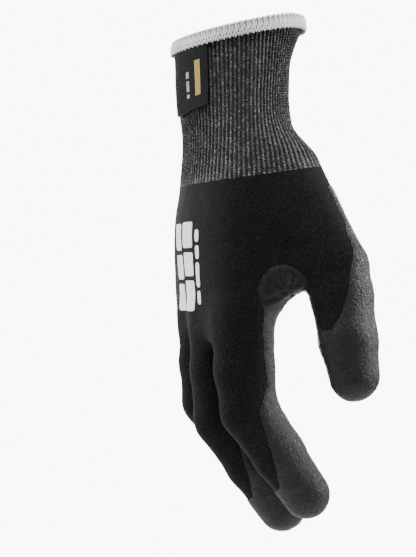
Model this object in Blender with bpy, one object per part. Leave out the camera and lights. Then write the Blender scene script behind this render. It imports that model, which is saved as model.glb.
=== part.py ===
"""Right-hand cut resistant glove, hanging with its fingers down.

Origin at the middle of the cuff's mouth. +Z leaves the mouth, +X is the thumb side, +Y is the palm
side. Lengths below are in millimetres. Knitted walls are thin shells. Each sleeve that bends with a
finger is a piece of its own, with a short stretch sleeve between it and the next one.
"""

import bmesh
import bpy
import numpy as np

MM = 0.001

# Walls
KNIT_WALL = 1.3
COAT_GAP = 0.35
COAT_WALL = 0.8
PRINT_WALL = 0.35
PRINT_GAP = 0.35
LABEL_WALL = 0.7
PIECE_GAP = 0.35
JOINT_ROOM = 1.3

# A finger is this much deeper, from back to pad, than it is wide
DEPTH_OVER_WIDTH = 1.27

# Cuff and palm sections: height, middle x, middle y, half width, half depth
SECTIONS = np.array([
    (12.0, 0.0, 0.0, 38.5, 30.5),
    (0.0, 0.0, -0.8, 37.0, 28.6),
    (-12.0, 0.0, -2.8, 35.0, 24.8),
    (-35.0, 0.0, -2.2, 32.0, 24.0),
    (-48.0, 0.5, 0.2, 33.5, 24.3),
    (-66.0, 1.0, 0.0, 38.0, 25.0),
    (-90.0, 1.0, -3.0, 43.0, 24.5),
    (-120.0, 1.0, -7.0, 44.5, 18.0),
    (-150.0, 1.0, -9.5, 44.0, 13.0),
])
SECTION_POWER = 2.4
MOUTH_SLOPE = 0.22
MOUTH_DROOP = 0.0045
PALM_END = -140.0
PALM_END_SLOPE = 0.3

# Each finger: base hinge, middle joint, end joint and the middle of the tip, each with its radius
FINGERS = {
    "index": ((33.75, -7.0, -151.0, 13.0), (33.75, -4.6, -169.0, 12.4),
              (33.75, 9.0, -189.0, 11.3), (33.75, 21.6, -206.5, 10.2)),
    "middle": ((11.25, -12.0, -152.0, 12.8), (11.25, -10.6, -174.0, 12.3),
               (11.25, 3.2, -195.0, 11.3), (11.25, 17.6, -214.8, 10.4)),
    "ring": ((-11.25, -12.0, -150.0, 12.2), (-11.25, -11.0, -167.5, 11.7),
             (-11.25, 2.8, -187.0, 10.7), (-11.25, 15.8, -202.5, 9.7)),
    "little": ((-32.5, -6.0, -142.0, 10.8), (-32.5, -5.2, -158.5, 10.3),
               (-32.5, 3.2, -174.5, 9.5), (-32.5, 12.0, -187.0, 8.8)),
}
FINGER_LIMITS = (22.5, 0.0, -22.5)
FINGER_BLEND = 6.0
THUMB_ROOT = (26.0, 12.5, -69.0, 19.5)
THUMB_KNUCKLE = (51.0, 29.5, -107.0, 13.6)
THUMB = ((54.8, 30.7, -119.0, 13.2), (60.0, 31.8, -138.0, 12.3), (62.5, 33.6, -153.0, 10.6))
THUMB_BLEND = 13.0
WEB = ((33.0, 5.0, -116.0, 7.0), (47.0, 16.0, -107.5, 7.5))
WEB_BLEND = 6.0
THUMB_REACH = 17.5

# Bending ranges in degrees: towards the palm, and back
BASE_RANGE = (35.0, 15.0)
MIDDLE_RANGE = (45.0, 25.0)
END_FOLLOWS = 0.6
THUMB_SWING_RANGE = (22.0, 12.0)
THUMB_TIP_RANGE = (25.0, 20.0)
WRIST_RANGE = (25.0, 25.0)
WRIST_HINGE = (0.0, 0.0, -50.0)

# Where the ribbed cuff is joined to the black shell, and the size of the edge and the label
CUFF_END = -66.5
CUFF_END_SLOPE = 0.15
CUFF_ROWS = 10
CUFF_TURNS = 28
EDGE_HEIGHT = 5.0
EDGE_RISE = 1.2
EDGE_WALL = 1.0
EDGE_SLACK = 1.0
LABEL_ANGLES = (-93.0, -46.0)
LABEL_HEIGHT = 30.0
LABEL_COLUMNS = 6
LABEL_ROWS = 5

# The label's distance off the cuff at its top, and how much further it is at its foot
LABEL_STAND = (0.9, 1.0)

# The accent bar's middle and half size, in degrees round the cuff and in height below the mouth
ACCENT_TURN = (-59.0, 3.5)
ACCENT_HEIGHT = (-19.5, 8.5)

# Coat: highest point on the palm, and which way the pads of the thumb and its web face
COAT_TOP = -76.0
COAT_MIX = 2.5
FINGER_PAD = np.array((0.0, 1.0, 0.0))
THUMB_PAD = np.array((-0.62, 0.78, 0.05))
WEB_PAD = np.array((0.34, 0.26, -0.90))

# How far to the pad side of a bone the coat starts, along a finger, the thumb and its web
FINGER_EDGE = ((-40.0, 8.0), (-10.0, 7.0), (0.0, 1.5), (9.0, -1.0))
FINGERTIP_EDGE = ((0.0, -5.5), (10.0, -8.5), (16.0, -16.0))
THUMB_EDGE = ((-20.0, 2.0), (-5.0, -2.5), (14.0, -8.0), (24.0, -11.0), (31.0, -14.0), (37.0, -16.0))
WEB_EDGE = ((-6.0, -16.0), (6.0, -9.0), (20.0, -5.0))

# The coat comes round the web's rim as far as this from its middle
WEB_MIDDLE = np.array((45.5, 7.9, -117.4))
WEB_REACH = 12.0

# Print bars on the back of the hand: low x, high x, low z, high z
PRINT_BARS = (
    (-7.5, 2.5, -126.0, -114.0),
    (-7.5, 2.5, -112.0, -101.0),
    (-7.5, 2.5, -99.0, -87.0),
    (5.0, 17.0, -126.0, -112.5),
    (5.0, 17.0, -110.5, -100.0),
    (5.0, 17.0, -98.0, -86.5),
)

GRID = (7.5, 6.6, 8.2)

COLOURS = {
    "edge_cream": ((0.86, 0.84, 0.78), 0.85),
    "cuff_grey": ((0.10, 0.10, 0.11), 0.9),
    "knit_black": ((0.012, 0.013, 0.016), 0.85),
    "coat_black": ((0.016, 0.014, 0.013), 0.45),
    "label_black": ((0.010, 0.011, 0.014), 0.5),
    "label_yellow": ((0.72, 0.52, 0.08), 0.6),
    "print_white": ((0.85, 0.85, 0.85), 0.6),
}


def clear_scene():
    for obj in list(bpy.data.objects):
        bpy.data.objects.remove(obj, do_unlink=True)


def material(name, slot):
    made = bpy.data.materials.new(name)
    made.use_nodes = True
    shader = made.node_tree.nodes["Principled BSDF"]
    colour, roughness = COLOURS[slot]
    shader.inputs["Base Color"].default_value = (*colour, 1.0)
    shader.inputs["Roughness"].default_value = roughness
    return made


def smooth_min(first, second, size):
    mix = np.clip(0.5 + 0.5 * (second - first) / size, 0.0, 1.0)
    return second + (first - second) * mix - size * mix * (1.0 - mix)


def bone(points, start, end):
    """Distance to a rounded cone between two (x, y, z, radius) ends, narrower across x."""
    stretch = np.array((DEPTH_OVER_WIDTH, 1.0, 1.0))
    a = np.array(start[:3]) * stretch
    b = np.array(end[:3]) * stretch
    along = b - a
    offset = points * stretch - a
    t = np.clip(offset @ along / (along @ along), 0.0, 1.0)
    radius = start[3] + (end[3] - start[3]) * t
    return np.linalg.norm(offset - t[:, None] * along, axis=1) - radius


def chain(points, joints):
    nearest = bone(points, joints[0], joints[1])
    for start, end in zip(joints[1:], joints[2:]):
        nearest = np.minimum(nearest, bone(points, start, end))
    return nearest


def section(heights):
    rising = SECTIONS[::-1]
    return [np.interp(heights, rising[:, 0], rising[:, k]) for k in (1, 2, 3, 4)]


def body_field(points):
    """Distance, measured across z, to the cuff and palm."""
    x, y, z = points.T
    middle_x, middle_y, half_width, half_depth = section(z)
    power = np.interp(z, (-110.0, -60.0), (SECTION_POWER, 2.0))
    u = np.abs(x - middle_x) / half_width + 1e-9
    v = np.abs(y - middle_y) / half_depth + 1e-9
    ratio = (u ** power + v ** power) ** (1.0 / power)
    size = np.hypot(x - middle_x, y - middle_y) + 1e-9
    across = size * (1.0 - 1.0 / ratio)
    end = PALM_END + PALM_END_SLOPE * np.maximum(-x - 8.0, 0.0)
    return -smooth_min(-across, z - end, 9.0)


def finger_field(points, name):
    joints = FINGERS[name]
    first = (joints[0][0], joints[0][1], -128.0, joints[0][3])
    return chain(points, (first, *joints))


def web_field(points):
    return bone(points, *WEB)


def thumb_field(points):
    thumb = chain(points, (THUMB_ROOT, THUMB_KNUCKLE, *THUMB))
    return smooth_min(thumb, web_field(points), WEB_BLEND)


def glove_field(points):
    fingers = np.min([finger_field(points, name) for name in FINGERS], axis=0)
    hand = smooth_min(body_field(points), fingers, FINGER_BLEND)
    return smooth_min(hand, thumb_field(points), THUMB_BLEND)


def gradient(points):
    step = 0.05
    slopes = []
    for k in range(3):
        shift = np.zeros(3)
        shift[k] = step
        slopes.append((glove_field(points + shift) - glove_field(points - shift)) / (2 * step))
    return np.stack(slopes, axis=1)


def unit(vectors):
    return vectors / np.maximum(np.linalg.norm(vectors, axis=-1, keepdims=True), 1e-9)


def surface_net(low, high):
    """Triangles over the glove's surface, with one point in each grid cell that it crosses."""
    axes = []
    for k in range(3):
        first = np.floor(low[k] / GRID[k])
        last = np.ceil(high[k] / GRID[k])
        axes.append(np.arange(first, last + 1) * GRID[k])
    shape = tuple(len(a) for a in axes)
    corners = np.stack(np.meshgrid(*axes, indexing="ij"), axis=-1)
    values = glove_field(corners.reshape(-1, 3)).reshape(shape)
    total = {}
    count = {}
    quads = []
    for k in range(3):
        here = [slice(None)] * 3
        there = [slice(None)] * 3
        here[k] = slice(0, -1)
        there[k] = slice(1, None)
        before = values[tuple(here)]
        after = values[tuple(there)]
        for cell in np.argwhere((before < 0) != (after < 0)):
            cell = tuple(cell)
            t = before[cell] / (before[cell] - after[cell])
            point = corners[cell].copy()
            point[k] += t * GRID[k]
            second, third = (k + 1) % 3, (k + 2) % 3
            ring = []
            for step in ((0, 0), (-1, 0), (-1, -1), (0, -1)):
                near = list(cell)
                near[second] += step[0]
                near[third] += step[1]
                near = tuple(near)
                ring.append(near)
                total[near] = total.get(near, 0.0) + point
                count[near] = count.get(near, 0) + 1
            if before[cell] > 0:
                ring.reverse()
            quads.append(ring)
    number = {near: n for n, near in enumerate(sorted(total))}
    points = np.array([total[near] / count[near] for near in sorted(total)])
    for _ in range(3):
        slope = gradient(points)
        step = glove_field(points) / np.maximum((slope ** 2).sum(axis=1), 0.2)
        points = points - 0.8 * step[:, None] * slope
    triangles = []
    for ring in quads:
        a, b, c, d = (number[near] for near in ring)
        if np.linalg.norm(points[a] - points[c]) < np.linalg.norm(points[b] - points[d]):
            triangles += [(a, b, c), (a, c, d)]
        else:
            triangles += [(a, b, d), (b, c, d)]
    return points, unit(gradient(points)), np.array(triangles)


def largest_part(points, normals, triangles):
    """The largest part of a surface that shared sides join, without its unused points."""
    ends = np.sort(np.stack([triangles, np.roll(triangles, -1, axis=1)]), axis=0)
    _, sides = np.unique(ends[0] * len(points) + ends[1], return_inverse=True)
    sides = sides.reshape(-1, 3)
    group = np.arange(sides.max() + 1)
    while True:
        least = group[sides].min(axis=1)
        joined = group.copy()
        for k in range(3):
            np.minimum.at(joined, sides[:, k], least)
        joined = joined[joined]
        if (joined == group).all():
            break
        group = joined
    marks, sizes = np.unique(group[sides[:, 0]], return_counts=True)
    triangles = triangles[group[sides[:, 0]] == marks[sizes.argmax()]]
    used, renumbered = np.unique(triangles, return_inverse=True)
    return points[used], normals[used], renumbered.reshape(-1, 3)


def clip(surface, values, moves=False, snap=0.2):
    """The part of a surface where the values, one to a point, are above 0.

    A cut that would pass close to a point passes through it. The point is moved to the cut if moves
    is set.
    """
    points, normals, triangles = surface
    points = points.copy()
    normals = normals.copy()
    values = np.array(values, float)
    edges = np.unique(np.sort(np.concatenate(
        [triangles[:, (0, 1)], triangles[:, (1, 2)], triangles[:, (2, 0)]]), axis=1), axis=0)
    crossing = edges[values[edges[:, 0]] * values[edges[:, 1]] < 0]
    share = values[crossing[:, 0]] / (values[crossing[:, 0]] - values[crossing[:, 1]])
    near = {}
    for (a, b), t in zip(crossing.tolist(), share.tolist()):
        for point, other, distance in ((a, b, t), (b, a, 1.0 - t)):
            if distance < snap and distance < near.get(point, (1.0,))[0]:
                near[point] = (distance, other)
    moved = {}
    for point, (distance, other) in near.items():
        if moves:
            moved[point] = (
                points[point] + distance * (points[other] - points[point]),
                normals[point] + distance * (normals[other] - normals[point]),
            )
        values[point] = 0.0
    for point, (place, normal) in moved.items():
        points[point] = place
        normals[point] = normal
    points = list(points)
    normals = list(normals)
    made = {}
    kept = []
    for triangle in triangles.tolist():
        if max(values[k] for k in triangle) <= 0:
            continue
        outline = []
        for a, b in zip(triangle, triangle[1:] + triangle[:1]):
            if values[a] >= 0:
                outline.append(a)
            if values[a] * values[b] < 0:
                key = (min(a, b), max(a, b))
                if key not in made:
                    low, high = key
                    t = values[low] / (values[low] - values[high])
                    made[key] = len(points)
                    points.append(points[low] + t * (points[high] - points[low]))
                    normals.append(normals[low] + t * (normals[high] - normals[low]))
                outline.append(made[key])
        for second, third in zip(outline[1:], outline[2:]):
            kept.append((outline[0], second, third))
    return largest_part(np.array(points), np.array(normals), np.array(kept))


def add_object(name, slot, points, faces, origin=(0.0, 0.0, 0.0)):
    mesh = bpy.data.meshes.new(name)
    places = (np.asarray(points) - np.asarray(origin)) * MM
    mesh.from_pydata([tuple(p) for p in places], [], [tuple(f) for f in faces])
    mesh.update()
    mesh.materials.append(material(name, slot))
    made = bpy.data.objects.new(name, mesh)
    made.location = [c * MM for c in origin]
    bpy.context.scene.collection.objects.link(made)
    work = bmesh.new()
    work.from_mesh(mesh)
    bmesh.ops.recalc_face_normals(work, faces=work.faces)
    work.to_mesh(mesh)
    work.free()
    for polygon in mesh.polygons:
        polygon.use_smooth = True
    return made


def add_shell(name, slot, surface, outer, inner, origin=(0.0, 0.0, 0.0)):
    """A closed body between two offsets of an open surface."""
    points, normals, triangles = surface
    count = len(points)
    edges = np.concatenate([triangles[:, (0, 1)], triangles[:, (1, 2)], triangles[:, (2, 0)]])
    present = {tuple(e) for e in edges.tolist()}
    rim = [(a, b) for a, b in present if (b, a) not in present]
    rim.sort()
    faces = [tuple(t) for t in triangles.tolist()]
    faces += [tuple(k + count for k in reversed(t)) for t in triangles.tolist()]
    for a, b in rim:
        faces.append((b, a, a + count))
        faces.append((b, a + count, b + count))
    both = np.concatenate([points + outer * normals, points + inner * normals])
    return add_object(name, slot, both, faces, origin)


def joint_frame(points, hinge, before, after, pad):
    """How far points are past a hinge, and how far to its pad side."""
    way = unit(unit(hinge - before) + unit(after - hinge))
    side = unit(pad - (pad @ way) * way)
    offset = points - hinge
    return offset @ way, offset @ side


def room(toward, bend, back):
    """Half the length that a hinge needs, at a distance to its pad side."""
    ahead = np.maximum(toward, 0.0) * np.tan(np.radians(bend / 2))
    behind = np.maximum(-toward, 0.0) * np.tan(np.radians(back / 2))
    return JOINT_ROOM + ahead + behind


class Hinge:
    """One bend line: the planes that end the sleeves on its two sides."""

    def __init__(self, place, before, after, pad, bend, back):
        self.place = np.array(place, float)
        self.before = np.array(before, float)
        self.after = np.array(after, float)
        self.pad = np.array(pad, float)
        self.bend = bend
        self.back = back

    def sides(self, points):
        past, toward = joint_frame(points, self.place, self.before, self.after, self.pad)
        return past, room(toward, self.bend, self.back)

    def nearer(self, points):
        past, half = self.sides(points)
        return -past - half

    def further(self, points):
        past, half = self.sides(points)
        return past - half

    def sleeve(self, surface):
        """The short stretch of a surface that is left between the sleeves on the two sides."""
        past, half = self.sides(surface[0])
        surface = clip(surface, past + half - PIECE_GAP, moves=True)
        past, half = self.sides(surface[0])
        return clip(surface, half - PIECE_GAP - past, moves=True)


def finger_hinges(name):
    joints = [np.array(j[:3]) for j in FINGERS[name]]
    above = joints[0] + (joints[0] - joints[1])
    end_bend = END_FOLLOWS * MIDDLE_RANGE[0]
    end_back = END_FOLLOWS * MIDDLE_RANGE[1]
    return (
        Hinge(joints[0], above, joints[1], FINGER_PAD, *BASE_RANGE),
        Hinge(joints[1], joints[0], joints[2], FINGER_PAD, *MIDDLE_RANGE),
        Hinge(joints[2], joints[1], joints[3], FINGER_PAD, end_bend, end_back),
    )


def thumb_hinges():
    knuckle = THUMB_KNUCKLE[:3]
    base, end, tip = (j[:3] for j in THUMB)
    return (
        Hinge(base, knuckle, end, (0.0, 1.0, 0.0), *THUMB_SWING_RANGE),
        Hinge(end, base, tip, (-1.0, 0.0, 0.0), *THUMB_TIP_RANGE),
    )


def along_finger(points, name):
    """How far points are to the pad side of a finger's bones, and how far along them."""
    joints = [np.array(j[:3]) for j in FINGERS[name]]
    nearest = np.full(len(points), 1e9)
    side = np.zeros(len(points))
    length = np.zeros(len(points))
    run = 0.0
    for start, end in zip(joints, joints[1:]):
        size = np.linalg.norm(end - start)
        way = (end - start) / size
        pad = unit(FINGER_PAD - (FINGER_PAD @ way) * way)
        offset = points - start
        t = offset @ way
        inside = np.clip(t, 0.0, size)
        distance = np.linalg.norm(offset - inside[:, None] * way, axis=1)
        closer = distance < nearest
        nearest = np.where(closer, distance, nearest)
        side = np.where(closer, offset @ pad, side)
        length = np.where(closer, run + t, length)
        run += size
    return side, length


def along_line(points, start, end, pad):
    """How far points are to the pad side of a line, and how far along it."""
    start = np.array(start[:3])
    way = unit(np.array(end[:3]) - start)
    offset = points - start
    return offset @ unit(pad - (pad @ way) * way), offset @ way


def past_edge(side, length, edge):
    return side - np.interp(length, *np.transpose(edge))


def finger_coat(points, name):
    """Above 0 on the coated pad side of a finger, and all round its tip."""
    side, length = along_finger(points, name)
    joints = [np.array(j[:3]) for j in FINGERS[name]]
    middle = np.linalg.norm(joints[1] - joints[0])
    last = middle + np.linalg.norm(joints[2] - joints[1])
    edge = [(middle + t, e) for t, e in FINGER_EDGE] + [(last + t, e) for t, e in FINGERTIP_EDGE]
    return past_edge(side, length, edge)


def coat_values(points):
    """How far inside the coat's edge points are, about in millimetres. Above 0 is coated."""
    x, y, z = points.T
    top = COAT_TOP - z + 0.15 * y
    lift = 6.0 * np.clip(x / 25.0, 0.0, 1.0) + np.interp(z, (-110.0, -95.0), (0.0, 3.0)) * (x > 0)
    palm = np.minimum(y - section(z)[1] - 1.0 - lift, top)
    thumb = past_edge(*along_line(points, THUMB_KNUCKLE, THUMB[2], THUMB_PAD), THUMB_EDGE)
    web = past_edge(*along_line(points, *WEB, WEB_PAD), WEB_EDGE)
    parts = [
        (body_field(points), palm),
        (thumb_field(points), np.minimum(thumb, top)),
        (web_field(points), web),
    ]
    parts += [(finger_field(points, name), finger_coat(points, name)) for name in FINGERS]
    nearest = np.min([field for field, _ in parts], axis=0)
    shares = [np.exp((nearest - field) / COAT_MIX) for field, _ in parts]
    mixed = sum(share * value for share, (_, value) in zip(shares, parts)) / sum(shares)
    return np.maximum(mixed, WEB_REACH - np.linalg.norm(points - WEB_MIDDLE, axis=1))


def finger_of(points):
    """The number of the finger whose band of x each point is in."""
    number = np.zeros(len(points), int)
    for limit in FINGER_LIMITS:
        number += points[:, 0] < limit
    return number


def thumb_part(points):
    """Points near the thumb, past its web."""
    base = np.array(THUMB[0][:3])
    along = np.array(THUMB[2][:3]) - base
    t = np.clip((points - base) @ along / (along @ along), -0.4, 1.0)
    return np.linalg.norm(points - base - t[:, None] * along, axis=1) < THUMB_REACH


def mouth_level(y):
    """Height of the cuff's mouth, which slopes up to the palm side and levels off there."""
    return MOUTH_SLOPE * y - MOUTH_DROOP * np.maximum(y - 6.0, 0.0) ** 2


def on_surface(angles, level):
    """Points of the cuff at angles round it, where level gives the height for their y."""
    way = np.stack([np.cos(angles), np.sin(angles), np.zeros(len(angles))], axis=1)
    near = np.full(len(angles), 5.0)
    far = np.full(len(angles), 80.0)
    for _ in range(30):
        middle = (near + far) / 2
        points = middle[:, None] * way
        points[:, 2] = level(points[:, 1])
        inside = glove_field(points) < 0
        near = np.where(inside, middle, near)
        far = np.where(inside, far, middle)
    return points


def grid_faces(rows, columns, closed):
    """Triangles over rows of points. A closed row ends where it starts."""
    size = columns if closed else columns + 1
    triangles = []
    for row in range(rows):
        for column in range(columns):
            a = row * size + column
            b = row * size + (column + 1) % size
            triangles += [(a, a + size, b + size), (a, b + size, b)]
    return np.array(triangles)


def cuff_tube():
    """The cuff's surface, from its mouth to below the end of the ribs."""
    angles = 2 * np.pi * np.arange(CUFF_TURNS) / CUFF_TURNS
    points = []
    for height in np.linspace(12.0, -84.0, CUFF_ROWS + 1):
        points.append(on_surface(angles, lambda y, height=height: height + 0.0 * y))
    points = np.concatenate(points)
    tube = points, unit(gradient(points)), grid_faces(CUFF_ROWS, CUFF_TURNS, closed=True)
    return clip(tube, mouth_level(points[:, 1]) - 1.0 - points[:, 2], moves=True)


def above_end(points):
    """How far points are above the end of the ribs."""
    return points[:, 2] - CUFF_END - CUFF_END_SLOPE * points[:, 1]


def build_cuff():
    """The ribbed cuff in two parts, with the stretch sleeve at the wrist between them."""
    tube = cuff_tube()
    hinge = Hinge(WRIST_HINGE, (0.0, 0.0, 0.0), (0.0, 0.0, -100.0), FINGER_PAD, *WRIST_RANGE)
    upper = clip(tube, hinge.nearer(tube[0]), moves=True)
    add_shell("cuff_rib", "cuff_grey", upper, 0.0, -KNIT_WALL)
    add_shell("cuff_wrist_sleeve", "cuff_grey", hinge.sleeve(tube), 0.0, -KNIT_WALL)
    lower = clip(tube, hinge.further(tube[0]), moves=True)
    lower = clip(lower, above_end(lower[0]), moves=True)
    add_shell("cuff_lower_rib", "cuff_grey", lower, 0.0, -KNIT_WALL, WRIST_HINGE)


def build_edge():
    """The overlock edge: a band folded over the cuff's mouth."""
    outline = on_surface(2 * np.pi * np.arange(CUFF_TURNS) / CUFF_TURNS, mouth_level)
    normals = unit(gradient(outline) * (1.0, 1.0, 0.0))
    outer = PIECE_GAP + EDGE_SLACK
    inner = -KNIT_WALL - PIECE_GAP - EDGE_SLACK
    foot = EDGE_RISE - EDGE_HEIGHT
    profile = (
        (outer, 0.0), (outer, foot), (outer + EDGE_WALL, foot), (outer + EDGE_WALL, EDGE_RISE),
        (0.3, EDGE_RISE + 0.9), (-1.6, EDGE_RISE + 0.9), (inner - EDGE_WALL, EDGE_RISE),
        (inner - EDGE_WALL, foot + 1.0), (inner, foot + 1.0), (inner, 0.0), (outer, 0.0),
    )
    points = [outline + out * normals + (0.0, 0.0, rise) for out, rise in profile[:-1]]
    faces = grid_faces(len(profile) - 1, CUFF_TURNS, closed=True)
    points = np.concatenate(points)
    add_object("overlock_edge", "edge_cream", points, faces % len(points))


def build_label():
    """A patch that hangs off the cuff below the edge, and its plain accent bar."""
    angles = np.radians(np.linspace(*LABEL_ANGLES, LABEL_COLUMNS + 1))
    points = []
    normals = []
    for part in np.linspace(0.0, 1.0, LABEL_ROWS + 1):
        drop = EDGE_HEIGHT - 0.6 + LABEL_HEIGHT * part
        row = on_surface(angles, lambda y, drop=drop: mouth_level(y) - drop)
        normals.append(unit(gradient(row) * (1.0, 1.0, 0.0)))
        points.append(row + (LABEL_STAND[0] + LABEL_STAND[1] * part) * normals[-1])
    faces = grid_faces(LABEL_ROWS, LABEL_COLUMNS, closed=False)
    label = np.concatenate(points), np.concatenate(normals), faces
    add_shell("wrist_label", "label_black", label, LABEL_WALL / 2, -LABEL_WALL / 2)
    turn = np.degrees(np.arctan2(label[0][:, 1], label[0][:, 0]))
    bar = clip(label, ACCENT_TURN[1] - np.abs(turn - ACCENT_TURN[0]), snap=0.0)
    height = bar[0][:, 2] - mouth_level(bar[0][:, 1])
    bar = clip(bar, ACCENT_HEIGHT[1] - np.abs(height - ACCENT_HEIGHT[0]), snap=0.0)
    add_shell("label_accent", "label_yellow", bar, LABEL_WALL / 2 + 0.65, LABEL_WALL / 2 + 0.35)


def build_hand(net, hinges, swing):
    """The hand's shell, the coat on its palm and the print on its back."""
    points = net[0]
    keep = np.full(len(points), 50.0)
    band = finger_of(points)
    for number, name in enumerate(FINGERS):
        keep = np.where(band == number, np.minimum(keep, hinges[name][0].nearer(points)), keep)
    keep = np.where(thumb_part(points), swing.nearer(points), keep)
    shell = clip(net, keep, moves=True)
    add_shell("hand_shell", "knit_black", shell, 0.0, -KNIT_WALL, WRIST_HINGE)
    coat = clip(shell, coat_values(shell[0]))
    add_shell("palm_coat", "coat_black", coat, COAT_GAP + COAT_WALL, COAT_GAP, WRIST_HINGE)
    for number, (low_x, high_x, low_z, high_z) in enumerate(PRINT_BARS, 1):
        patch = clip(shell, -10.0 - shell[0][:, 1], snap=0.0)
        for column, low, high in ((0, low_x, high_x), (2, low_z, high_z)):
            patch = clip(patch, patch[0][:, column] - low, snap=0.0)
            patch = clip(patch, high - patch[0][:, column], snap=0.0)
        add_shell(f"print_bar_{number}", "print_white", patch, PRINT_GAP + PRINT_WALL, PRINT_GAP,
                  WRIST_HINGE)


def build_digit(net, chosen, stem, parts):
    """A finger or thumb: for each part the stretch sleeve above it, its knit and its coat."""
    points, normals, triangles = net
    digit = largest_part(points, normals, triangles[chosen[triangles].all(axis=1)])
    for part, start, stop in parts:
        name = f"{stem}_{part}"
        add_shell(f"{name}_stretch", "knit_black", start.sleeve(digit), 0.0, -KNIT_WALL, start.place)
        piece = clip(digit, start.further(digit[0]), moves=True)
        if stop is not None:
            piece = clip(piece, stop.nearer(piece[0]), moves=True)
        add_shell(f"{name}_knit", "knit_black", piece, 0.0, -KNIT_WALL, start.place)
        skin = clip(piece, coat_values(piece[0]))
        add_shell(f"{name}_coat", "coat_black", skin, COAT_GAP + COAT_WALL, COAT_GAP, start.place)


def build_glove():
    clear_scene()
    build_cuff()
    build_edge()
    build_label()
    net = surface_net((-60.0, -50.0, -240.0), (85.0, 60.0, -40.0))
    net = clip(net, -above_end(net[0]) - PIECE_GAP, moves=True)
    hinges = {name: finger_hinges(name) for name in FINGERS}
    swing, thumb_end = thumb_hinges()
    build_hand(net, hinges, swing)
    band = finger_of(net[0])
    on_thumb = thumb_part(net[0])
    for number, name in enumerate(FINGERS):
        base, middle, end = hinges[name]
        parts = (("proximal", base, middle), ("middle", middle, end), ("tip", end, None))
        build_digit(net, (band == number) & ~on_thumb, name, parts)
    build_digit(net, on_thumb, "thumb", (("base", swing, thumb_end), ("tip", thumb_end, None)))


build_glove()
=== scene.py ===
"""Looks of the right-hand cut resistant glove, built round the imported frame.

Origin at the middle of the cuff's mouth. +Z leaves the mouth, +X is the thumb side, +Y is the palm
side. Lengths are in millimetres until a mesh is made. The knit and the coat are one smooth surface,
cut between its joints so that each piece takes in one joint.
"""

import math

import bpy
import numpy as np
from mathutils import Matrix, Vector, noise


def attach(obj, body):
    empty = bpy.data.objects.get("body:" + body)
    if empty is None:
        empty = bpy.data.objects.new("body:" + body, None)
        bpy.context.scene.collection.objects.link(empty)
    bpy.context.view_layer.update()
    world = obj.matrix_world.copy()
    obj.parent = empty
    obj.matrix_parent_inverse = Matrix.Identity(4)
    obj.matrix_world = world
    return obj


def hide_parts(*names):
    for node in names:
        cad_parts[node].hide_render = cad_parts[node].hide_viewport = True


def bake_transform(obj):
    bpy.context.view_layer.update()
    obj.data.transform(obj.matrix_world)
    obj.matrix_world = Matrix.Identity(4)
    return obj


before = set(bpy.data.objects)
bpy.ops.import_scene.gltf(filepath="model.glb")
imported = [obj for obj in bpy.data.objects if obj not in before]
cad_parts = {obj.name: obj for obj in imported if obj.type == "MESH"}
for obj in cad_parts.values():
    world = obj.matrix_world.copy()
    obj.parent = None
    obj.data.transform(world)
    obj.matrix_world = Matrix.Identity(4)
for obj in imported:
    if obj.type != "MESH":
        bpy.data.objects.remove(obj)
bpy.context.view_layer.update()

MM = 0.001

# Shape of the hand: the CAD's, with its joints and sections rounded -------------------------------

# A finger is this much deeper, from back to pad, than it is wide
DEPTH_OVER_WIDTH = 1.27

# Cuff and palm sections: height, middle x, middle y, half width, half depth
SECTIONS = np.array([
    (12.0, 0.0, 0.0, 38.5, 30.5),
    (0.0, 0.0, -0.8, 37.0, 28.6),
    (-12.0, 0.0, -2.8, 35.0, 24.8),
    (-35.0, 0.0, -2.2, 32.0, 24.0),
    (-48.0, 0.5, 0.2, 33.5, 24.3),
    (-66.0, 1.0, 0.0, 38.0, 25.0),
    (-90.0, 1.0, -3.0, 43.0, 24.5),
    (-120.0, 1.0, -7.0, 44.5, 18.0),
    (-150.0, 1.0, -9.5, 44.0, 13.0),
])
# The sections change from ellipses at the cuff to squarer ovals at the knuckles
SECTION_POWER = 2.4
SECTION_SOFTEN = (-6.0, -3.0, 0.0, 3.0, 6.0)
MOUTH_SLOPE = 0.22
MOUTH_DROOP = 0.0045
PALM_END = -140.0
PALM_END_SLOPE = 0.3
PALM_END_BLEND = 9.0
FINGER_TOP = -128.0
CUFF_END = -66.5
CUFF_END_SLOPE = 0.15

# Each finger: base hinge, middle joint, end joint and the middle of the tip, each with its radius
FINGERS = {
    "index": ((33.75, -7.0, -151.0, 13.0), (33.75, -4.6, -169.0, 12.4),
              (33.75, 9.0, -189.0, 11.3), (33.75, 21.6, -206.5, 10.2)),
    "middle": ((11.25, -12.0, -152.0, 12.8), (11.25, -10.6, -174.0, 12.3),
               (11.25, 3.2, -195.0, 11.3), (11.25, 17.6, -214.8, 10.4)),
    "ring": ((-11.25, -12.0, -150.0, 12.2), (-11.25, -11.0, -167.5, 11.7),
             (-11.25, 2.8, -187.0, 10.7), (-11.25, 15.8, -202.5, 9.7)),
    "little": ((-32.5, -6.0, -142.0, 10.8), (-32.5, -5.2, -158.5, 10.3),
               (-32.5, 3.2, -174.5, 9.5), (-32.5, 12.0, -187.0, 8.8)),
}
FINGER_LIMITS = (22.5, 0.0, -22.5)
FINGER_BLEND = 6.0
JOINT_BLEND = 2.5
THUMB_ROOT = (26.0, 12.5, -69.0, 19.5)
THUMB_KNUCKLE = (51.0, 29.5, -107.0, 13.6)
THUMB = ((54.8, 30.7, -119.0, 13.2), (60.0, 31.8, -138.0, 12.3), (62.5, 33.6, -153.0, 10.6))
THUMB_BLEND = 13.0
WEB = ((33.0, 5.0, -116.0, 7.0), (47.0, 16.0, -107.5, 7.5))
WEB_BLEND = 6.0
THUMB_REACH = 17.5

# Coat: highest point on the palm, and which way the pads of the thumb and its web face
COAT_TOP = -76.0
COAT_MIX = 2.5
FINGER_PAD = np.array((0.0, 1.0, 0.0))
THUMB_PAD = np.array((-0.62, 0.78, 0.05))
WEB_PAD = np.array((0.34, 0.26, -0.90))

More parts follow.
